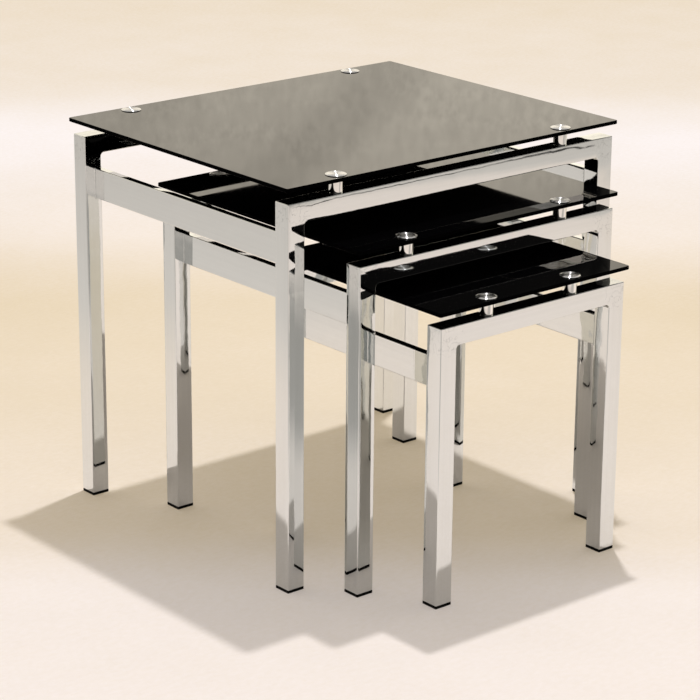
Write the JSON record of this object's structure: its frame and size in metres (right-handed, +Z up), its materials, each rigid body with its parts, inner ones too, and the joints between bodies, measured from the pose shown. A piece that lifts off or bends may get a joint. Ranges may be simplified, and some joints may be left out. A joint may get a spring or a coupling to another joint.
{
  "type": "nest of tables",
  "caption": "Nest of side tables with polished chrome tube frames and black glass tops on round stand-off fixings; each smaller table slides out from under the next.",
  "frame": {"origin": "on the floor, under the middle of the whole nest as it stands in the picture", "axes": "+X along the front frames, -Y the way the smaller tables pull out, +Z up"},
  "size_m": [0.55, 0.602, 0.5197],
  "materials": {
    "chrome": "polished chrome plate",
    "black_glass": "black glass, polished, ground edges",
    "spun_steel": "turned face with fine round grain",
    "black_plastic": "moulded, satin",
    "clear_plastic": "soft clear vinyl",
    "plated_steel": "zinc plate"
  },
  "bodies": {
    "large_table": {"large_front_beam": "chrome", "large_rear_beam": "chrome", "large_front_left_leg": "chrome", "large_front_right_leg": "chrome", "large_rear_left_leg": "chrome", "large_rear_right_leg": "chrome", "large_left_rail": "chrome", "large_right_rail": "chrome", "large_glass_spacers": "chrome", "large_front_left_foot": "black_plastic", "large_front_right_foot": "black_plastic", "large_rear_left_foot": "black_plastic", "large_rear_right_foot": "black_plastic", "large_glass_top": "black_glass", "large_glass_caps": "spun_steel", "large_cap_washers": "clear_plastic", "large_glass_bushes": "clear_plastic", "large_thread_inserts": "plated_steel"},
    "medium_table": {"medium_front_beam": "chrome", "medium_rear_beam": "chrome", "medium_front_left_leg": "chrome", "medium_front_right_leg": "chrome", "medium_rear_left_leg": "chrome", "medium_rear_right_leg": "chrome", "medium_left_rail": "chrome", "medium_right_rail": "chrome", "medium_glass_spacers": "chrome", "medium_front_left_foot": "black_plastic", "medium_front_right_foot": "black_plastic", "medium_rear_left_foot": "black_plastic", "medium_rear_right_foot": "black_plastic", "medium_glass_top": "black_glass", "medium_glass_caps": "spun_steel", "medium_cap_washers": "clear_plastic", "medium_glass_bushes": "clear_plastic", "medium_thread_inserts": "plated_steel"},
    "small_table": {"small_front_beam": "chrome", "small_rear_beam": "chrome", "small_front_left_leg": "chrome", "small_front_right_leg": "chrome", "small_rear_left_leg": "chrome", "small_rear_right_leg": "chrome", "small_left_rail": "chrome", "small_right_rail": "chrome", "small_glass_spacers": "chrome", "small_front_left_foot": "black_plastic", "small_front_right_foot": "black_plastic", "small_rear_left_foot": "black_plastic", "small_rear_right_foot": "black_plastic", "small_glass_top": "black_glass", "small_glass_caps": "spun_steel", "small_cap_washers": "clear_plastic", "small_glass_bushes": "clear_plastic", "small_thread_inserts": "plated_steel"}
  },
  "joints": [
    {"name": "medium_slide", "type": "slide", "parent": "large_table", "child": "medium_table", "axis": [0, -1, 0], "range_m": [-0.0875, 0.36]},
    {"name": "small_slide", "type": "slide", "parent": "medium_table", "child": "small_table", "axis": [0, -1, 0], "range_m": [-0.1285, 0.25]}
  ]
}
